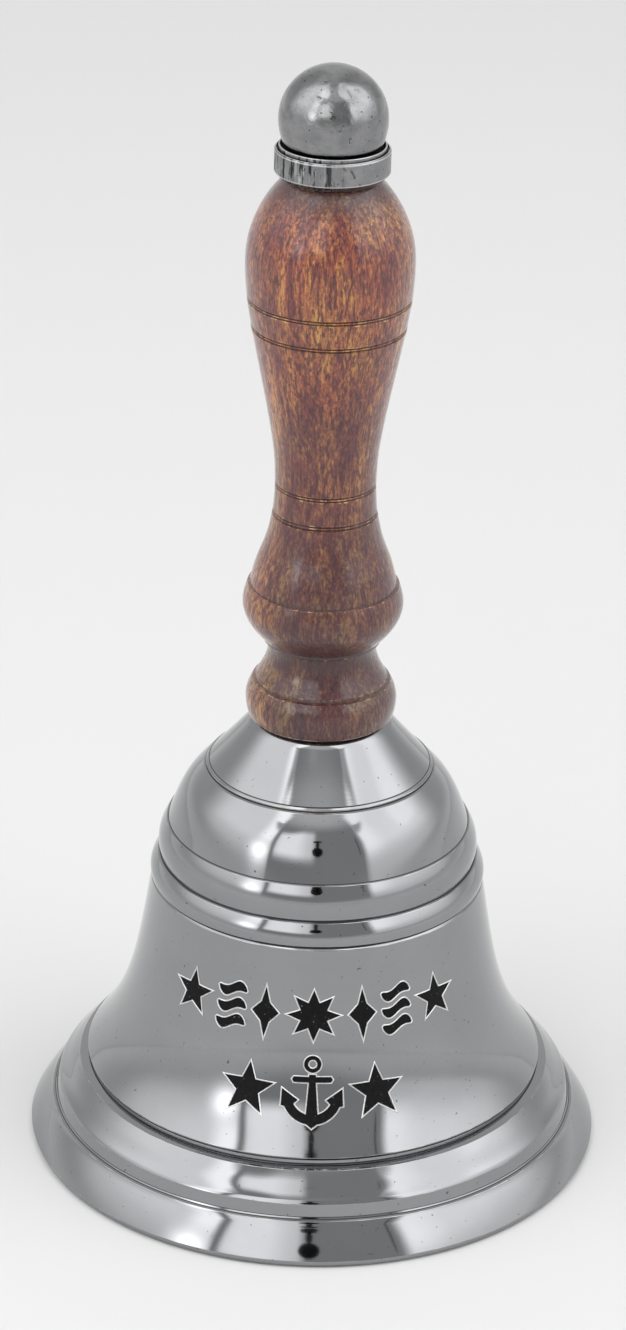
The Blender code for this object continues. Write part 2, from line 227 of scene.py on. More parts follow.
def finial_ball_outline():
    """A ball whose lower half is drawn out a little, with a flat foot and a blind hole."""
    centre = BALL_TOP - BALL_RADIUS
    drop = 1.1
    foot_angle = math.degrees(math.asin((BALL_SEAT - centre) / (BALL_RADIUS * drop)))
    lower = arc((0, centre), BALL_RADIUS, foot_angle, 0, 18, drop)
    upper = arc((0, centre), BALL_RADIUS, 0, 90, 36)[1:]
    upper[-1] = (0.0, BALL_TOP)
    hole = [(0.0, centre + 2.3), (ROD_HOLE, centre + 2.3), (ROD_HOLE, BALL_SEAT)]
    return [*hole, *lower, *upper]


def striker_outline():
    """The clapper's ball, with the flat round its hole that the lathe leaves."""
    centre = STRIKER_BOTTOM + STRIKER_RADIUS
    hole = SHANK_RADIUS + 0.3
    top_angle = math.degrees(math.acos((hole + 0.7) / STRIKER_RADIUS))
    ball = arc((0, centre), STRIKER_RADIUS, -90, top_angle, 48)
    ball[0] = (0.0, STRIKER_BOTTOM)
    floor = SHANK_BOTTOM - 0.3
    return [*ball, (hole, ball[-1][1]), (hole, floor), (0.0, floor)]


def washer_outline():
    face = [(ROD_HOLE, WASHER_BOTTOM), (WASHER_RADIUS, WASHER_BOTTOM)]
    return [*face, (WASHER_RADIUS, WASHER_TOP), (ROD_HOLE, WASHER_TOP)]


# ---- Meshes ---------------------------------------------------------------------------------------
def link(name, mesh, *materials):
    piece = bpy.data.objects.new(name, mesh)
    bpy.context.scene.collection.objects.link(piece)
    for material in materials:
        mesh.materials.append(material)
    return piece


def turned(name, outline, material, segments=192, radius=0.12, inside=()):
    """A solid of revolution, with its corners rounded and an edge attribute for wear and painted highlights
    on outer edges and painted shade in inner corners.

    The faces that come from the outline's inside part take the object's second material.
    """
    points, edges = rounded([*outline, *inside], radius)
    if inside:
        nearest = min(range(len(points)), key=lambda i: (Vector(points[i]) - Vector(inside[0])).length)
    turns = np.linspace(0, math.tau, segments, endpoint=False)
    shape = bmesh.new()
    edge = shape.verts.layers.float.new("edge")
    rings = []
    for (r, z), sharpness in zip(points, edges):
        angles = turns if r > 1e-6 else turns[:1]
        ring = [shape.verts.new((r * MM * math.sin(a), -r * MM * math.cos(a), z * MM)) for a in angles]
        for vertex in ring:
            vertex[edge] = sharpness
        rings.append(ring if len(ring) > 1 else ring * segments)
    open_on_axis = outline[0][0] < 1e-6 or points[-1][0] < 1e-6
    pairs = list(zip(rings, rings[1:])) + ([] if open_on_axis else [(rings[-1], rings[0])])
    for number, (a, b) in enumerate(pairs):
        for i in range(segments):
            j = (i + 1) % segments
            corners = list(dict.fromkeys((a[i], a[j], b[j], b[i])))
            if len(corners) > 2:
                face = shape.faces.new(corners)
                face.smooth = True
                face.material_index = int(bool(inside) and number >= nearest)
    bmesh.ops.recalc_face_normals(shape, faces=shape.faces)
    mesh = bpy.data.meshes.new(name)
    shape.to_mesh(mesh)
    shape.free()
    return link(name, mesh, *(material if inside else [material]))


def threaded_rod(name, low, high, thread_ends, material, segments=40):
    """The tie rod, with a real helical thread at both ends and a plain shank between."""
    thread_low, thread_high = thread_ends
    heights = np.concatenate(
        [
            np.arange(low, thread_low, THREAD_PITCH / 8),
            np.linspace(thread_low, thread_high, 8),
            np.arange(thread_high, high, THREAD_PITCH / 8)[1:],
            [high],
        ]
    )
    shape = bmesh.new()
    rings = []
    for z in heights:
        taper = min(1.0, (min(z - low, high - z) + 0.15) / 0.7)   # reaches 1 at 0.55 mm from the rod's end
        ring = []
        for i in range(segments):
            phase = (z / THREAD_PITCH - i / segments) % 1.0
            cut = THREAD_DEPTH * abs(2 * phase - 1) if not thread_low <= z <= thread_high else 0.0
            r = (ROD_RADIUS - cut) * (0.8 + 0.2 * taper)
            a = math.tau * i / segments
            ring.append(shape.verts.new((r * MM * math.cos(a), r * MM * math.sin(a), z * MM)))
        rings.append(ring)
    for a, b in zip(rings, rings[1:]):
        for i in range(segments):
            shape.faces.new((a[i], a[(i + 1) % segments], b[(i + 1) % segments], b[i])).smooth = True
    shape.faces.new(reversed(rings[0]))
    shape.faces.new(rings[-1])
    mesh = bpy.data.meshes.new(name)
    shape.to_mesh(mesh)
    shape.free()
    return link(name, mesh, material)


def softened(name, node, material, width=0.14):
    """The CAD node's own shape with its edges bevelled, for the pieces that aren't turned."""
    shape = bmesh.new()
    shape.from_mesh(frame["nodes"][node].data)
    bmesh.ops.remove_doubles(shape, verts=shape.verts, dist=1e-6)
    bmesh.ops.dissolve_limit(shape, angle_limit=math.radians(0.5), verts=shape.verts, edges=shape.edges)
    mesh = bpy.data.meshes.new(name)
    shape.to_mesh(mesh)
    shape.free()
    piece = link(name, mesh, material)
    mesh.shade_smooth()
    bevel = piece.modifiers.new("worn edges", "BEVEL")
    bevel.width, bevel.segments, bevel.angle_limit = width * MM, 2, math.radians(28)
    bevel.harden_normals = True
    return piece


def rivet_outline():
    """The pin across the stirrup, lying along the outline's height until it is turned on its side."""
    leg = PIN_LENGTH - 1.3
    head = arc((0, leg), PIN_HEAD, 0, 90, 10, 1.3 / PIN_HEAD)
    head[-1] = (0.0, PIN_LENGTH)
    half = [(1.4, leg), *head]
    return [(r, -y) for r, y in reversed(half)] + half


# ---- The ornament: stars, waves and an anchor, filled with black enamel ---------------------------
def star(points, outer, inner, squeeze=1.0):
    """A star with its first point up, narrowed by squeeze."""
    outline = []
    for i in range(2 * points):
        angle = math.pi / 2 + math.pi * i / points
        reach = (outer, inner)[i % 2]
        outline.append((squeeze * reach * math.cos(angle), reach * math.sin(angle)))
    return outline


def wave(width, height, thick, rise):
    """One ripple of water, thick in the middle and drawn to a point at both ends."""
    across = np.linspace(-1, 1, 25)
    top, bottom = [], []
    for t in across:
        middle = rise + height * math.sin(math.pi * t)
        half = thick / 2 * math.sqrt(max(1 - t**4, 0.004))
        top.append((width / 2 * t, middle + half))
        bottom.append((width / 2 * t, middle - half))
    return [*bottom, *reversed(top)]


def anchor():
    """The anchor's outline without its ring: shank, stock, arms and flukes."""
    inner = arc((0, 0.1), 3.1, -70, -34, 8)
    outer = arc((0, 0.1), 4.9, -28, -80, 10)
    stock = [(0.75, 3.3), (0.75, 2.95), (3.1, 2.95), (3.5, 2.3), (3.1, 1.65), (0.75, 1.65)]
    fluke = [(1.9, -0.9), (4.95, 1.1), (4.95, -2.1)]
    right = [*stock, *inner, *fluke, *outer]
    return [*right, (0.0, -5.4), *[(-x, y) for x, y in reversed(right)]]


def ring_shape(centre, outer, inner, steps=28):
    """A flat ring as two loops."""
    return [arc(centre, radius, 0, 360 * (1 - 1 / steps), steps - 1) for radius in (outer, inner)]


def flat_shape(shape, outline):
    """Adds a filled flat shape, from one loop or from the two loops of a ring; returns its faces."""
    loops = outline if isinstance(outline[0], list) else [outline]
    made = [[shape.verts.new((x, y, 0)) for x, y in loop] for loop in loops]
    if len(made) == 1:
        return [shape.faces.new(made[0])]
    outer, inner = made
    n = len(outer)
    return [shape.faces.new((outer[i], outer[(i + 1) % n], inner[(i + 1) % n], inner[i])) for i in range(n)]


RIDGE, RIDGE_HEIGHT, FILL_HEIGHT, ROOT = 0.22, 0.12, 0.02, -0.12   # millimetres, from the bell's surface
FIGURE_REACH, CUT_APART = 6.6, 0.6   # figures are cut into strips this wide, so that they bend with the bell
RIDGE_SLOT, FILL_SLOT = 0, 1


def row(figures, gap, height):
    """Sets (outlines, half width) figures side by side round the bell, centred on its front."""
    radii, heights = np.array(WAIST).T
    radius = np.interp(height, heights, radii)
    left = -sum(half for _, half in figures) - gap * (len(figures) - 1) / 2
    for outlines, half in figures:
        yield (left + half) / radius, height, outlines
        left += 2 * half + gap


def ornament_rows():
    """(angle round the bell, height on it, outlines) for each figure."""
    water = [wave(5.4, 0.6, 2.0, rise) for rise in (-2.7, 0.0, 2.7)], 2.7
    spark = [star(4, 4.9, 2.4, 0.5)], 2.45
    five = [star(5, 4.3, 1.8)], 4.1
    rose = [star(8, 4.7, 2.5)], 4.7
    large = [star(5, 4.9, 2.1)], 4.7
    middle = [anchor(), ring_shape((0, 4.85), 1.6, 0.55)], 4.95
    yield from row([five, water, spark, rose, spark, water, five], 0.5, 34.7)
    yield from row([large, middle, large], 0.6, 22.6)


def on_waist(x, y, lift, angle, height):
    """A point of a flat figure laid on the waist, lifted off it by a little."""
    radii, heights = np.array(WAIST).T
    slope = np.gradient(radii, heights)
    lean = math.atan(-np.interp(height, heights, slope))
    z = height + y * math.cos(lean)
    r = np.interp(z, heights, radii)
    local_lean = math.atan(-np.interp(z, heights, slope))
    turn = angle + x / np.interp(height, heights, radii)
    r_lifted = r + lift * math.cos(local_lean)
    z_lifted = z + lift * math.sin(local_lean)
    return Vector((r_lifted * math.sin(turn), -r_lifted * math.cos(turn), z_lifted)) * MM


def inset_all_round(shape, faces, width):
    """Insets the faces from every side, and returns the new faces of the border."""
    settings = {"thickness": width, "use_even_offset": True, "use_boundary": True}
    return bmesh.ops.inset_region(shape, faces=faces, **settings)["faces"]


def engraved(outline):
    """One flat figure: a ridge round a sunken fill, with a skirt that goes into the bell and a floor."""
    shape = bmesh.new()
    top = flat_shape(shape, outline)
    bmesh.ops.recalc_face_normals(shape, faces=top)
    if top[0].normal.z < 0:
        bmesh.ops.reverse_faces(shape, faces=top)
    for face in top:
        face.material_index = FILL_SLOT
    ridge = inset_all_round(shape, top, RIDGE)
    for face in ridge:
        face.material_index = RIDGE_SLOT
    filled = {v for f in shape.faces if f.material_index == FILL_SLOT for v in f.verts}
    for vertex in shape.verts:
        vertex.co.z = FILL_HEIGHT if vertex in filled else RIDGE_HEIGHT * 0.5
    rounds = inset_all_round(shape, ridge, RIDGE * 0.3)
    for vertex in {v for f in ridge for v in f.verts}:
        vertex.co.z = RIDGE_HEIGHT
    for face in rounds:
        face.material_index = RIDGE_SLOT
    boundary = [e for e in shape.edges if e.is_boundary]
    for made in bmesh.ops.extrude_edge_only(shape, edges=boundary)["geom"]:
        if isinstance(made, bmesh.types.BMVert):
            made.co.z = ROOT
        elif isinstance(made, bmesh.types.BMFace):
            made.material_index = RIDGE_SLOT
    bmesh.ops.holes_fill(shape, edges=[e for e in shape.edges if e.is_boundary])
    bmesh.ops.triangulate(shape, faces=[f for f in shape.faces if len(f.verts) > 4])
    for across in (Vector((1, 0, 0)), Vector((0, 1, 0))):
        for cut in np.arange(-FIGURE_REACH, FIGURE_REACH + 0.01, CUT_APART):
            everything = [*shape.verts, *shape.edges, *shape.faces]
            bmesh.ops.bisect_plane(shape, geom=everything, plane_co=across * cut, plane_no=across)
    return shape


def ornament(name, ridge_material, fill_material):
    """Figures engraved on the waist: a ridge painted bright as a highlight, round a fill of black enamel."""
    whole = bmesh.new()
    for angle, height, outlines in ornament_rows():
        for outline in outlines:
            shape = engraved(outline)
            for vertex in shape.verts:
                vertex.co = on_waist(*vertex.co, angle, height)
            bmesh.ops.recalc_face_normals(shape, faces=shape.faces)
            part = bpy.data.meshes.new("figure")
            shape.to_mesh(part)
            shape.free()
            whole.from_mesh(part)
            bpy.data.meshes.remove(part)
    mesh = bpy.data.meshes.new(name)
    whole.to_mesh(mesh)
    whole.free()
    return link(name, mesh, ridge_material, fill_material)


# ---- Materials ------------------------------------------------------------------------------------
class Tree:
    """Short names for building a material's nodes.  Coordinates are the row frame's, in millimetres."""

    def __init__(self, name):
        self.material = bpy.data.materials.new(name)
        self.material.use_nodes = True
        self.nodes = self.material.node_tree.nodes
        self.links = self.material.node_tree.links
        self.shader = self.nodes["Principled BSDF"]
        self.place = self.scaled(self.node("ShaderNodeTexCoord").outputs["Object"], (1000, 1000, 1000))

    def put(self, socket, value):
        if isinstance(value, bpy.types.NodeSocket):
            self.links.new(value, socket)
        else:
            socket.default_value = value

    def node(self, kind, inputs=(), **settings):
        made = self.nodes.new(kind)
        for key, value in settings.items():
            setattr(made, key, value)
        for key, value in dict(inputs).items():
            self.put(made.inputs[key], value)
        return made

    def scaled(self, vector, scale):
        return self.node("ShaderNodeVectorMath", {0: vector, 1: scale}, operation="MULTIPLY").outputs[0]

    def math(self, operation, a, b=0.0, c=0.0, clamp=False):
        inputs = {0: a, 1: b, 2: c}
        return self.node("ShaderNodeMath", inputs, operation=operation, use_clamp=clamp).outputs[0]

    def noise(self, scale, detail=3.0, roughness=0.5, distortion=0.0, vector=None):
        """Noise whose scale is in cycles per millimetre along x, y and z."""
        where = self.scaled(vector or self.place, scale)
        inputs = {"Vector": where, "Scale": 1.0, "Detail": detail}
        inputs |= {"Roughness": roughness, "Distortion": distortion}
        return self.node("ShaderNodeTexNoise", inputs).outputs["Fac"]

    def between(self, value, low, high):
        """0 below low, 1 above high, and a smooth step between."""
        inputs = {"Value": value, "From Min": low, "From Max": high}
        return self.node("ShaderNodeMapRange", inputs, interpolation_type="SMOOTHSTEP").outputs["Result"]

    def ramp(self, value, stops):
        made = self.node("ShaderNodeValToRGB", {"Fac": value})
        ramp = made.color_ramp
        for _ in stops[2:]:
            ramp.elements.new(0.5)
        for element, (position, colour) in zip(ramp.elements, stops):
            element.position, element.color = position, (*colour, 1)
        return made.outputs["Color"]

    def mix(self, factor, a, b, blend="MIX"):
        a, b = [(*x, 1) if isinstance(x, tuple) and len(x) == 3 else x for x in (a, b)]
        made = self.node("ShaderNodeMix", data_type="RGBA", blend_type=blend)
        for index, value in ((0, factor), (6, a), (7, b)):
            self.put(made.inputs[index], value)
        return made.outputs[2]

    def edge(self, sign=1.0):
        """How far the surface is on an outer edge, for wear and painted highlights, or with sign -1 in an
        inner corner, for painted shade.
        """
        found = self.node("ShaderNodeAttribute", attribute_name="edge").outputs["Fac"]
        return self.math("MULTIPLY", found, sign, clamp=True)

    def bump(self, height, distance, strength=1.0, normal=None):
        inputs = {"Height": height, "Distance": distance * MM, "Strength": strength}
        if normal:
            inputs["Normal"] = normal
        return self.node("ShaderNodeBump", inputs).outputs["Normal"]

    def finish(self, **sockets):
        for key, value in sockets.items():
            self.put(self.shader.inputs[key.replace("_", " ")], value)
        return self.material


def nickel_plate():
    """Polished plate over brass: faint turning lines, wiping haze, a few specks, and painted shade in the
    inner corners.
    """
    t = Tree("polished_nickel_plate")
    haze = t.noise((0.06, 0.06, 0.09), 5, 0.6)
    lines = t.noise((0.02, 0.02, 9.0), 2)
    grain = t.noise((3.2, 3.2, 3.2), 2, 0.6)
    specks = t.between(t.noise((1.7, 1.7, 1.7), 1), 0.755, 0.775)
    worn = t.math("MULTIPLY", t.edge(), t.between(t.noise((0.35, 0.35, 0.35), 3), 0.45, 0.7))
    colour = t.ramp(haze, [(0.3, (0.288, 0.293, 0.303)), (0.7, (0.318, 0.322, 0.33))])
    colour = t.mix(t.math("MULTIPLY", worn, 0.5), colour, (0.62, 0.6, 0.55))
    # Painted shade: the inner corners darkened nearly to black.
    colour = t.mix(t.math("MULTIPLY", t.edge(-1), 0.92), colour, (0.012, 0.012, 0.012))
    colour = t.mix(t.math("MULTIPLY", specks, 0.75), colour, (0.06, 0.06, 0.06))
    roughness = t.math("MULTIPLY_ADD", haze, 0.06, 0.03)
    roughness = t.math("MULTIPLY_ADD", t.edge(-1), 0.4, roughness)
    height = t.math("MULTIPLY_ADD", specks, -2.0, t.math("MULTIPLY_ADD", grain, 0.6, lines))
    normal = t.bump(height, 0.0011)
    normal = t.bump(t.noise((0.3, 0.3, 0.3), 2), 0.004, normal=normal)
    return t.finish(Base_Color=colour, Metallic=1.0, Roughness=roughness, Normal=normal)


def bright_cut_highlight():
    """The cut edge round the enamel, painted much brighter than the plate as a highlight, and finely broken
    up.
    """
    t = Tree("bright_cut_edge_painted_highlight")
    grain = t.noise((2.4, 2.4, 2.4), 4, 0.7)
    colour = t.ramp(grain, [(0.3, (0.62, 0.62, 0.62)), (0.7, (0.92, 0.92, 0.92))])
    roughness = t.math("MULTIPLY_ADD", grain, 0.2, 0.34)
    return t.finish(Base_Color=colour, Metallic=1.0, Roughness=roughness, Normal=t.bump(grain, 0.01))


def bell_lining():
    """The inside: plated over the turned casting without polish, so it is dull, ringed and warmer."""
    t = Tree("turned_lining")
    rings = t.noise((0.03, 0.03, 3.2), 4, 0.6)
    stain = t.noise((0.07, 0.07, 0.07), 5, 0.65)
    pits = t.between(t.noise((1.2, 1.2, 1.2), 2), 0.66, 0.72)
    colour = t.ramp(stain, [(0.3, (0.27, 0.26, 0.24)), (0.72, (0.33, 0.32, 0.30))])
    colour = t.mix(t.math("MULTIPLY", pits, 0.6), colour, (0.10, 0.09, 0.08))
    roughness = t.math("MULTIPLY_ADD", stain, 0.12, 0.14)
    normal = t.bump(t.math("MULTIPLY_ADD", pits, -0.4, rings), 0.05)
    return t.finish(Base_Color=colour, Metallic=1.0, Roughness=roughness, Normal=normal)


def worn_plate(name, scuff, shine):
    """Duller plate on the finial: pits, stains, scratches, dark upright scuffs on one side, outer edges
    painted bright as highlights, and painted shade in the inner corners.
    """
    t = Tree(name)
    haze = t.noise((0.3, 0.3, 0.3), 5, 0.7)
    pits = t.between(t.noise((1.5, 1.5, 1.5), 2, 0.6), 0.675, 0.715)
    stains = t.between(t.noise((0.33, 0.33, 0.5), 4, 0.62, 0.8), 0.64, 0.68)
    x = t.node("ShaderNodeSeparateXYZ", {0: t.place}).outputs[0]
    left_side = t.between(x, 3.5, -1.5)
    upright = t.between(t.noise((1.7, 1.7, 0.16), 3, 0.75), 0.52, 0.585)
    glints = t.between(t.noise((2.3, 2.3, 0.2), 2, 0.7), 0.58, 0.66)
    scuffs = t.math("MULTIPLY", t.math("MULTIPLY", upright, left_side), scuff)
    rubbed = t.math("MULTIPLY", t.math("MULTIPLY", glints, left_side), scuff * 0.6)
    colour = t.ramp(haze, [(0.25, (0.17, 0.172, 0.178)), (0.75, (0.33, 0.332, 0.335))])
    marks = t.math("MAXIMUM", t.math("MULTIPLY", pits, 0.85), t.math("MULTIPLY", stains, 0.6))
    marks = t.math("MAXIMUM", marks, scuffs)
    colour = t.mix(rubbed, colour, (0.66, 0.66, 0.66))
    colour = t.mix(marks, colour, (0.03, 0.03, 0.031))
    # Painted highlight on the outer edges, and painted shade, nearly black, in the inner corners.
    colour = t.mix(t.math("MULTIPLY", t.edge(), 0.75), colour, (0.66, 0.66, 0.66))
    colour = t.mix(t.math("MULTIPLY", t.edge(-1), 0.95), colour, (0.01, 0.01, 0.01))
    roughness = t.math("MULTIPLY_ADD", haze, 0.2, 0.26 - 0.22 * shine)
    roughness = t.math("MULTIPLY_ADD", marks, 0.3, roughness)
    scratches = t.noise((3.4, 0.35, 3.4), 2, 0.6, 1.2)
    height = t.math("MULTIPLY_ADD", marks, -1.2, t.math("MULTIPLY", scratches, 0.35))
    normal = t.bump(height, 0.012)
    normal = t.bump(t.noise((0.28, 0.28, 0.28), 3, 0.55), 0.14, normal=normal)
    return t.finish(Base_Color=colour, Metallic=1.0, Roughness=roughness, Normal=normal)


def hardwood():
    """Red-brown hardwood: golden flecks, dark pores, golden chips, gloss varnish, varnish gathered in the
    cove; painted light on the lower left, and painted shade, mauve-brown, lower down and on the right, under
    the collar, in the cove and in the inner corners.
    """
    t = Tree("turned_hardwood")
    warped = t.node("ShaderNodeVectorMath", {0: t.place, 1: (26.0, -18.0, 0.0)}, operation="ADD").outputs[0]
    x, y, z = t.node("ShaderNodeSeparateXYZ", {0: warped}).outputs[:3]
    ring = t.math("SQRT", t.math("ADD", t.math("MULTIPLY", x, x), t.math("MULTIPLY", y, y)))
    ring = t.math("MULTIPLY_ADD", t.noise((0.05, 0.05, 0.02), 3), 7.0, ring)
    along = t.node("ShaderNodeCombineXYZ", {0: ring, 1: 0.0, 2: z}).outputs[0]
    streaks = t.noise((0.5, 1.0, 0.008), 4, 0.6, vector=along)
    figure = t.noise((0.2, 0.2, 0.03), 4, 0.6, 0.4)
    flecks = t.noise((1.5, 1.5, 0.15), 3, 0.65, 0.3)
    speckle = t.noise((2.9, 2.9, 1.1), 3, 0.75)
    tone = t.math("MULTIPLY_ADD", streaks, 0.3, t.math("MULTIPLY", figure, 0.3))
    tone = t.math("MULTIPLY_ADD", flecks, 0.4, tone)
    tone = t.math("MULTIPLY_ADD", t.math("SUBTRACT", speckle, 0.5), 0.5, tone)
    tone = t.math("MULTIPLY_ADD", t.math("SUBTRACT", tone, 0.5), 2.0, 0.55)
    stops = [
        (0.24, (0.070, 0.016, 0.018)),
        (0.40, (0.150, 0.036, 0.030)),
        (0.51, (0.220, 0.063, 0.036)),
        (0.63, (0.32, 0.118, 0.040)),
        (0.79, (0.50, 0.24, 0.065)),
    ]
    colour = t.ramp(tone, stops)
    rose = t.between(t.noise((0.12, 0.12, 0.06), 3), 0.42, 0.62)
    colour = t.mix(t.math("MULTIPLY", rose, 0.6), colour, (1.0, 0.66, 0.84), "MULTIPLY")
    # Painted shade: darker and mauve lower down, more on the right than on the left, and at the top under the
    # collar.
    low = t.between(t.math("MULTIPLY_ADD", figure, 34.0, z), 165.0, 102.0)
    side = t.between(t.math("MULTIPLY_ADD", figure, 8.0, x), 19.5, 24.5)
    shaded = t.math("MULTIPLY", low, t.math("MULTIPLY_ADD", side, 0.55, 0.42))
    top = t.between(t.math("MULTIPLY_ADD", figure, 5.0, z), 158.5, 163.5)
    colour = t.mix(t.math("MAXIMUM", shaded, top), colour, (0.36, 0.46, 0.72), "MULTIPLY")
    # Golden flecks lightened only on the lower left: the wood's own flecks, and painted light on the lit
    # side.
    gold_flecks_and_lit_side = t.math("MULTIPLY", low, t.math("SUBTRACT", 1.0, side))
    gold_flecks_and_lit_side = t.math("MULTIPLY", gold_flecks_and_lit_side, t.between(flecks, 0.47, 0.6))
    colour = t.mix(t.math("MULTIPLY", gold_flecks_and_lit_side, 0.6), colour, (0.44, 0.22, 0.065))
    # Painted shade in the cove under the belly, together with varnish gathered there.
    cove_shade_and_pooling = t.between(t.math("ABSOLUTE", t.math("SUBTRACT", z, 86.2)), 3.4, 0.8)
    colour = t.mix(t.math("MULTIPLY", cove_shade_and_pooling, 0.8), colour, (0.42, 0.30, 0.32), "MULTIPLY")
    pores = t.between(t.noise((2.3, 2.3, 0.42), 2, 0.55), 0.54, 0.58)
    colour = t.mix(t.math("MULTIPLY", pores, 0.72), colour, (0.062, 0.011, 0.016))
    chips = t.math("MULTIPLY", t.edge(), t.between(t.noise((0.8, 0.8, 0.5), 3, 0.7), 0.53, 0.63))
    colour = t.mix(t.math("MULTIPLY", chips, 0.85), colour, (0.62, 0.40, 0.16))
    # Painted shade: the inner corners darkened nearly to black.
    colour = t.mix(t.math("MULTIPLY", t.edge(-1), 0.95), colour, (0.02, 0.008, 0.007))
    roughness = t.math("MULTIPLY_ADD", figure, 0.2, 0.3)
    height = t.math("MULTIPLY_ADD", pores, -1.5, speckle)
    normal = t.bump(height, 0.045)
    mottle = t.math("MULTIPLY_ADD", speckle, 0.35, t.noise((0.7, 0.7, 0.5), 3))
    coat_normal = t.bump(t.math("MULTIPLY_ADD", pores, -0.8, mottle), 0.04)
    varnish = {"Coat_Weight": 1.0, "Coat_Roughness": 0.1, "Coat_Normal": coat_normal}
    return t.finish(Base_Color=colour, Roughness=roughness, Normal=normal, **varnish, Specular_IOR_Level=0.25)


def black_enamel():
    """Baked enamel in the engraving: nearly black, a little uneven, with pale dust specks."""
    t = Tree("black_enamel")
    uneven = t.noise((1.6, 1.6, 1.6), 4, 0.6)
    specks = t.between(t.noise((3.4, 3.4, 3.4), 1), 0.74, 0.77)
    colour = t.ramp(uneven, [(0.3, (0.002, 0.002, 0.002)), (0.75, (0.009, 0.009, 0.009))])
    colour = t.mix(specks, colour, (0.3, 0.3, 0.3))
    roughness = t.math("MULTIPLY_ADD", uneven, 0.25, 0.4)
    normal = t.bump(uneven, 0.03)
    return t.finish(Base_Color=colour, Roughness=roughness, Normal=normal, Specular_IOR_Level=0.12)


def zinc_steel():
    """Zinc-plated hardware: a fine mottled grain, rubbed in places."""
    t = Tree("zinc_plated_steel")
    grain = t.noise((1.4, 1.4, 1.4), 5, 0.7)
    rubbed = t.noise((0.18, 0.18, 0.18), 3)
    colour = t.ramp(grain, [(0.3, (0.34, 0.35, 0.37)), (0.7, (0.56, 0.57, 0.58))])
    colour = t.mix(t.between(rubbed, 0.6, 0.75), colour, (0.22, 0.19, 0.15))
    roughness = t.math("MULTIPLY_ADD", grain, 0.3, 0.18)
    return t.finish(Base_Color=colour, Metallic=1.0, Roughness=roughness, Normal=t.bump(grain, 0.012))


def turned_brass():
    """Turned brass, tarnished unevenly, with rings from the lathe."""
    t = Tree("turned_brass")
    tarnish = t.noise((0.2, 0.2, 0.2), 5, 0.6)
    rings = t.noise((0.05, 0.05, 6.0), 2)
    stops = [(0.3, (0.30, 0.19, 0.075)), (0.55, (0.58, 0.40, 0.16)), (0.8, (0.70, 0.52, 0.25))]
    colour = t.ramp(tarnish, stops)
    roughness = t.math("MULTIPLY_ADD", tarnish, -0.25, 0.42)
    return t.finish(Base_Color=colour, Metallic=1.0, Roughness=roughness, Normal=t.bump(rings, 0.006))


# ---- The object -----------------------------------------------------------------------------------
def place(piece, body, slot, *nodes):
    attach(piece, body)
    if nodes:
        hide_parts(*nodes)


def build_bell():
    nickel = nickel_plate()
    shape = {"segments": 256, "radius": 0.16, "inside": bell_inside()}
    shell = turned("bell_shell_turned", bell_outline(), [nickel, bell_lining()], **shape)
    place(shell, "bell", "nickel_plate", "bell_shell")
    figures = ornament("engraved_ornament", bright_cut_highlight(), black_enamel())
    place(figures, "bell", "nickel_plate")
    grip = turned("grip_turned", grip_outline(), hardwood(), segments=224, radius=0.1)
    place(grip, "bell", "turned_wood", "handle_grip")
    scuffed = worn_plate("scuffed_collar_plate", scuff=0.95, shine=0.2)
    collar = turned("collar_turned", collar_outline(), scuffed, segments=160)
    place(collar, "bell", "worn_nickel_plate", "finial_collar")
    pitted = worn_plate("pitted_ball_plate", scuff=0.0, shine=0.85)
    ball = turned("ball_turned", finial_ball_outline(), pitted, segments=160)
    place(ball, "bell", "worn_nickel_plate", "finial_ball")


def build_hardware(steel):
    washer = turned("washer_turned", washer_outline(), steel, segments=96, radius=0.15)
    place(washer, "bell", "steel", "crown_washer")
    rod = threaded_rod("rod_threaded", ROD_BOTTOM, ROD_TOP, (CROWN_Z, COLLAR_TOP - 4), steel)
    place(rod, "bell", "steel", "tie_rod")
    place(softened("nut_bevelled", "crown_nut", steel, width=0.1), "bell", "steel", "crown_nut")
    lock_nut = softened("lock_nut_bevelled", "hanger_lock_nut", steel, width=0.1)
    place(lock_nut, "bell", "steel", "hanger_lock_nut")


def build_clapper(steel, brass):
    stirrup = softened("stirrup_bent", "hanger_stirrup", steel, width=0.16)
    place(stirrup, "hanger", "steel", "hanger_stirrup")
    pin = turned("pin_riveted", rivet_outline(), steel, segments=64, radius=0.1)
    pin.data.transform(Matrix.Translation((0, 0, SWING_Z * MM)) @ Matrix.Rotation(math.pi / 2, 4, "X"))
    place(pin, "hanger", "steel", "hanger_pin")
    shank = softened("shank_brazed", "clapper_shank", brass, width=0.12)
    place(shank, "clapper", "brass", "clapper_shank")
    striker = turned("striker_turned", striker_outline(), brass, segments=128, radius=0.15)
    place(striker, "clapper", "brass", "clapper_ball")


# ---- The studio -----------------------------------------------------------------------------------
AROUND = Vector((0, 0, 0.06))   # the tent's middle, and where its directions are taken from
TENT_RADIUS = 1.3
TENT_LIGHT = 0.84
SHADOW_LIGHT = 0.5      # the gap in front, where the camera stands
PANEL_EDGE = 38         # degrees from the camera to where the left cloth begins, and one less on the right
CLOTH_TOP, CLOTH_LEAN = 58, 14   # degrees: the side cloths' top before it dips, the ceiling's lean inward
LAMP_PLACE, LAMP_WIDTH, LAMP_LIGHT = (-47, 19), 7, 3.0   # the lamp behind the left cloth, in degrees
BACKDROP_LIGHT = 0.82   # past the floor's edge, near enough the floor's own brightness
FLOOR_GAP = 0.00005


def plain_material(name, colour, roughness=0.9):
    material = bpy.data.materials.new(name)
    material.use_nodes = True
    shader = material.node_tree.nodes["Principled BSDF"]
    shader.inputs["Base Color"].default_value = (*colour, 1)
    shader.inputs["Roughness"].default_value = roughness
    shader.inputs["Specular IOR Level"].default_value = 0.1
    return material


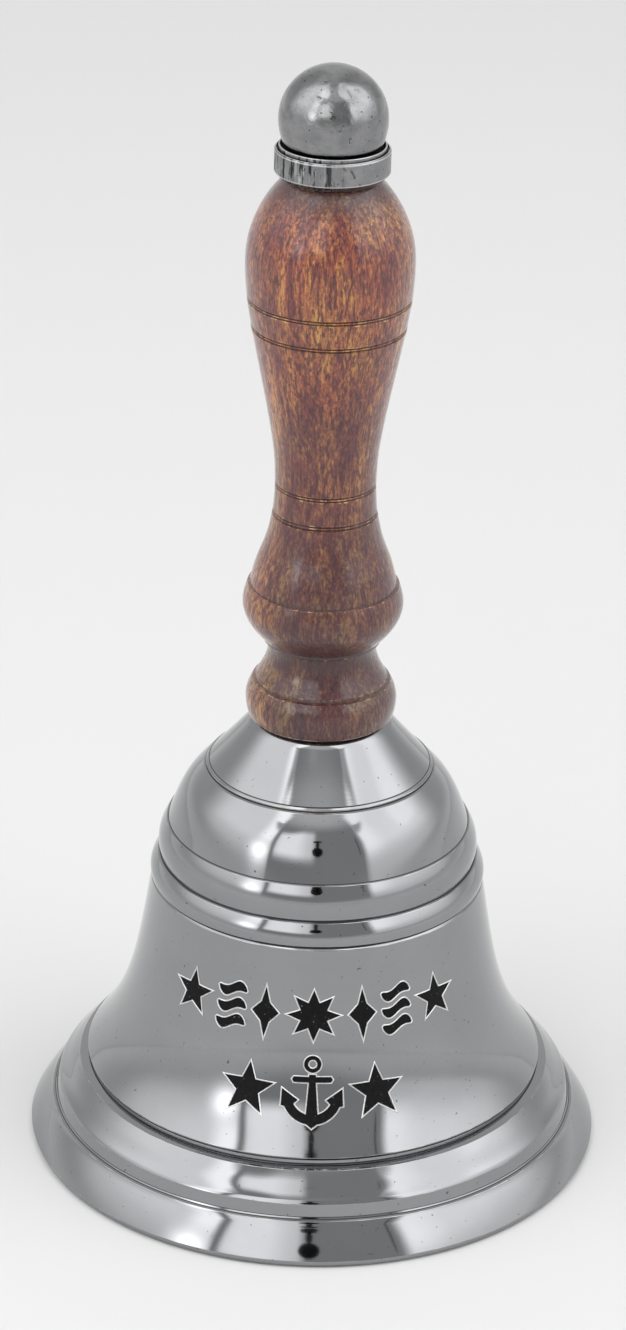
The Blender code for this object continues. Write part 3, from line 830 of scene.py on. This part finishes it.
def glow_material():
    """Light as strong as the glow attribute on the panel's points says."""
    material = bpy.data.materials.new("diffused_light")
    material.use_nodes = True
    nodes, links = material.node_tree.nodes, material.node_tree.links
    nodes.clear()
    glow = nodes.new("ShaderNodeAttribute")
    glow.attribute_name = "glow"
    light, out = nodes.new("ShaderNodeEmission"), nodes.new("ShaderNodeOutputMaterial")
    links.new(glow.outputs["Fac"], light.inputs["Strength"])
    links.new(light.outputs[0], out.inputs[0])
    return material


def step(value, low, high):
    """0 below low, 1 above high, smooth between; with high below low it falls instead."""
    t = min(1.0, max(0.0, (value - low) / (high - low)))
    return t * t * (3 - 2 * t)


# In the functions below azimuth and elevation are directions from the bell in degrees, azimuth 0 faces the
# camera and is negative on the photo's left, and the factors are brightness.
def lamp_glow(azimuth, elevation):
    """The lamp that shows through the left cloth."""
    aside, above = (azimuth - LAMP_PLACE[0]) / LAMP_WIDTH, (elevation - LAMP_PLACE[1]) / LAMP_WIDTH
    return LAMP_LIGHT * math.exp(-(aside**2) - above**2)


def left_cloth(azimuth, elevation, high, lean):
    """What the lit cloth on the left adds: brightest high up near its inner edge, where its top dips."""
    bottom = 0.45 * step(elevation, 6, 18) + 0.55 * step(elevation, 14, 34)
    top = CLOTH_TOP - 12 * step(azimuth, -62, -40) ** 2 + 30 * step(elevation, 52, 56)
    level = 1.0 + 1.0 * step(azimuth, -57, -46) * step(elevation, 22, 36)
    side = step(azimuth, -124, -94) * step(azimuth, lean - 38.5 + 5 * high, lean - 41.5 - 5 * high)
    return level * bottom * side * step(elevation, top + 4, top - 3)


def right_cloth(azimuth, elevation, high, lean):
    """What the lit cloth on the right adds: a little more at its inner edge and high up round the side."""
    top = CLOTH_TOP - 13 * step(azimuth, 68, 40) ** 2 + 30 * step(elevation, 52, 56)
    level = 1.2 + 0.35 * step(azimuth, 74, 86) * step(elevation, 26, 34)
    bottom = 0.35 * step(elevation, 4, 10) + 0.65 * step(elevation, 8, 30)
    inner = 0.4 * step(azimuth, 62, 44) * step(elevation, 12, 24)
    side = step(azimuth, 126, 96) * step(azimuth, 37.5 - lean - 5 * high, 42 - lean + 5 * high)
    return (level * bottom + inner) * side * step(elevation, top + 4, top - 3)


def front_window(azimuth, elevation):
    """A window of light in the dark gap in front, on the left of the camera."""
    if azimuth > -2:
        return 0.0
    top = 49 - 5 * step(azimuth, -12, -34)
    level = 1.75 - 0.6 * step(azimuth, -20, -5) - 0.3 * step(azimuth, -30, -36)
    upright = step(elevation, 15, 24) * step(elevation, top + 5, top - 3)
    return level * (upright * step(azimuth, -37, -34) * step(azimuth, 0, -6))


def tent_light(azimuth, elevation):
    """How bright the cloth tent is in a direction from the bell."""
    high = step(elevation, 52, 66)
    lean = CLOTH_LEAN * high
    light = TENT_LIGHT + 0.1 * high + 0.11 * step(elevation, 7, -2.6)   # the floor lights the cloth's foot
    light -= 0.15 * step(abs(azimuth), 85, 115) * step(abs(azimuth), 172, 150) * step(elevation, -1, 12)
    if azimuth < lean - PANEL_EDGE:
        return light + lamp_glow(azimuth, elevation) + left_cloth(azimuth, elevation, high, lean)
    if azimuth > PANEL_EDGE - 1 - lean:
        return light + right_cloth(azimuth, elevation, high, lean)
    spread = abs(azimuth) / PANEL_EDGE
    shadow = light + (SHADOW_LIGHT - light) * step(elevation, -2.6 + 3 * spread, 8 + 6 * spread)
    shadow += 0.6 * step(elevation, 50, 61)
    return shadow + front_window(azimuth, elevation)


def build_tent(material):
    """A domed tent of diffusing cloth round the bell, standing on the floor and never seen by the camera."""
    shape = bmesh.new()
    glow = shape.verts.layers.float.new("glow")
    rows = []
    foot = -math.degrees(math.asin(AROUND.z / TENT_RADIUS))
    for elevation in np.linspace(foot, 82, 90):
        row = []
        for azimuth in range(-180, 180):
            turn, rise = math.radians(azimuth), math.radians(elevation)
            level = math.cos(rise)
            toward = Vector((level * math.sin(turn), -level * math.cos(turn), math.sin(rise)))
            vertex = shape.verts.new(AROUND + toward * TENT_RADIUS)
            vertex[glow] = tent_light(azimuth, elevation)
            row.append(vertex)
        rows.append(row)
    for a, b in zip(rows, rows[1:]):
        for i in range(len(a)):
            j = (i + 1) % len(a)
            shape.faces.new((a[i], a[j], b[j], b[i]))
    mesh = bpy.data.meshes.new("tent")
    shape.to_mesh(mesh)
    shape.free()
    sheet = link("tent", mesh, material)
    sheet.visible_camera = False


def dark_bar(name, middle, size, material):
    """A rounded dark thing that only shows as a reflection in the metal, given by its half lengths."""
    shape = bmesh.new()
    bmesh.ops.create_icosphere(shape, subdivisions=3, radius=1.0)
    bmesh.ops.scale(shape, vec=size, verts=shape.verts)
    mesh = bpy.data.meshes.new(name)
    shape.to_mesh(mesh)
    shape.free()
    bar = link(name, mesh, material)
    bar.location = middle
    bar.visible_camera = False


def build_studio():
    build_tent(glow_material())
    floor_mesh = bmesh.new()
    bmesh.ops.create_circle(floor_mesh, cap_ends=True, segments=128, radius=TENT_RADIUS)
    mesh = bpy.data.meshes.new("floor")
    floor_mesh.to_mesh(mesh)
    floor_mesh.free()
    floor = link("floor", mesh, plain_material("pale_floor", (0.71, 0.71, 0.71)))
    floor.location.z = CAD_BOX[0][2] - FLOOR_GAP
    world = bpy.context.scene.world or bpy.data.worlds.new("tent")
    bpy.context.scene.world = world
    world.use_nodes = True
    background = world.node_tree.nodes["Background"]
    background.inputs["Color"].default_value = (1, 1, 1, 1)
    background.inputs["Strength"].default_value = BACKDROP_LIGHT
    bpy.context.scene.view_settings.view_transform = "Standard"


CAMERA_PLACE = Vector((0.0, -0.6097, 0.3641))
CAMERA_PITCH, CAMERA_YAW, CAMERA_ROLL = 24.866, -0.075, 1.231   # degrees down, to the right and clockwise
CAMERA_LENS = 116.4
CAMERA_SHIFT = -0.0026


def build_camera():
    camera = bpy.data.objects.new("camera", bpy.data.cameras.new("camera"))
    bpy.context.scene.collection.objects.link(camera)
    tilt = Matrix.Rotation(math.radians(90 - CAMERA_PITCH), 4, "X")
    turn = Matrix.Rotation(math.radians(-CAMERA_YAW), 4, "Z")
    roll = Matrix.Rotation(math.radians(CAMERA_ROLL), 4, "Z")
    camera.matrix_world = Matrix.Translation(CAMERA_PLACE) @ turn @ tilt @ roll
    camera.data.lens = CAMERA_LENS
    camera.data.shift_x = CAMERA_SHIFT
    bpy.context.scene.camera = camera
    black = plain_material("camera_black", (0.006, 0.006, 0.006))
    dark_bar("camera_front", CAMERA_PLACE, (0.046, 0.046, 0.058), black)
    across = Vector((0, 0.54, 0.84))   # square to the line from the lip to the camera
    dark_bar("camera_hood", CAMERA_PLACE + 0.138 * across, (0.038, 0.02, 0.018), black)
    dark_bar("camera_neck", CAMERA_PLACE + 0.09 * across, (0.015, 0.03, 0.045), black)
    beside = CAMERA_PLACE + Vector((0.345, 0.1, 0.07))
    dark_bar("stand", beside, (0.004, 0.004, 0.16), black)


build_bell()
STEEL = zinc_steel()
build_hardware(STEEL)
build_clapper(STEEL, turned_brass())
build_studio()
build_camera()
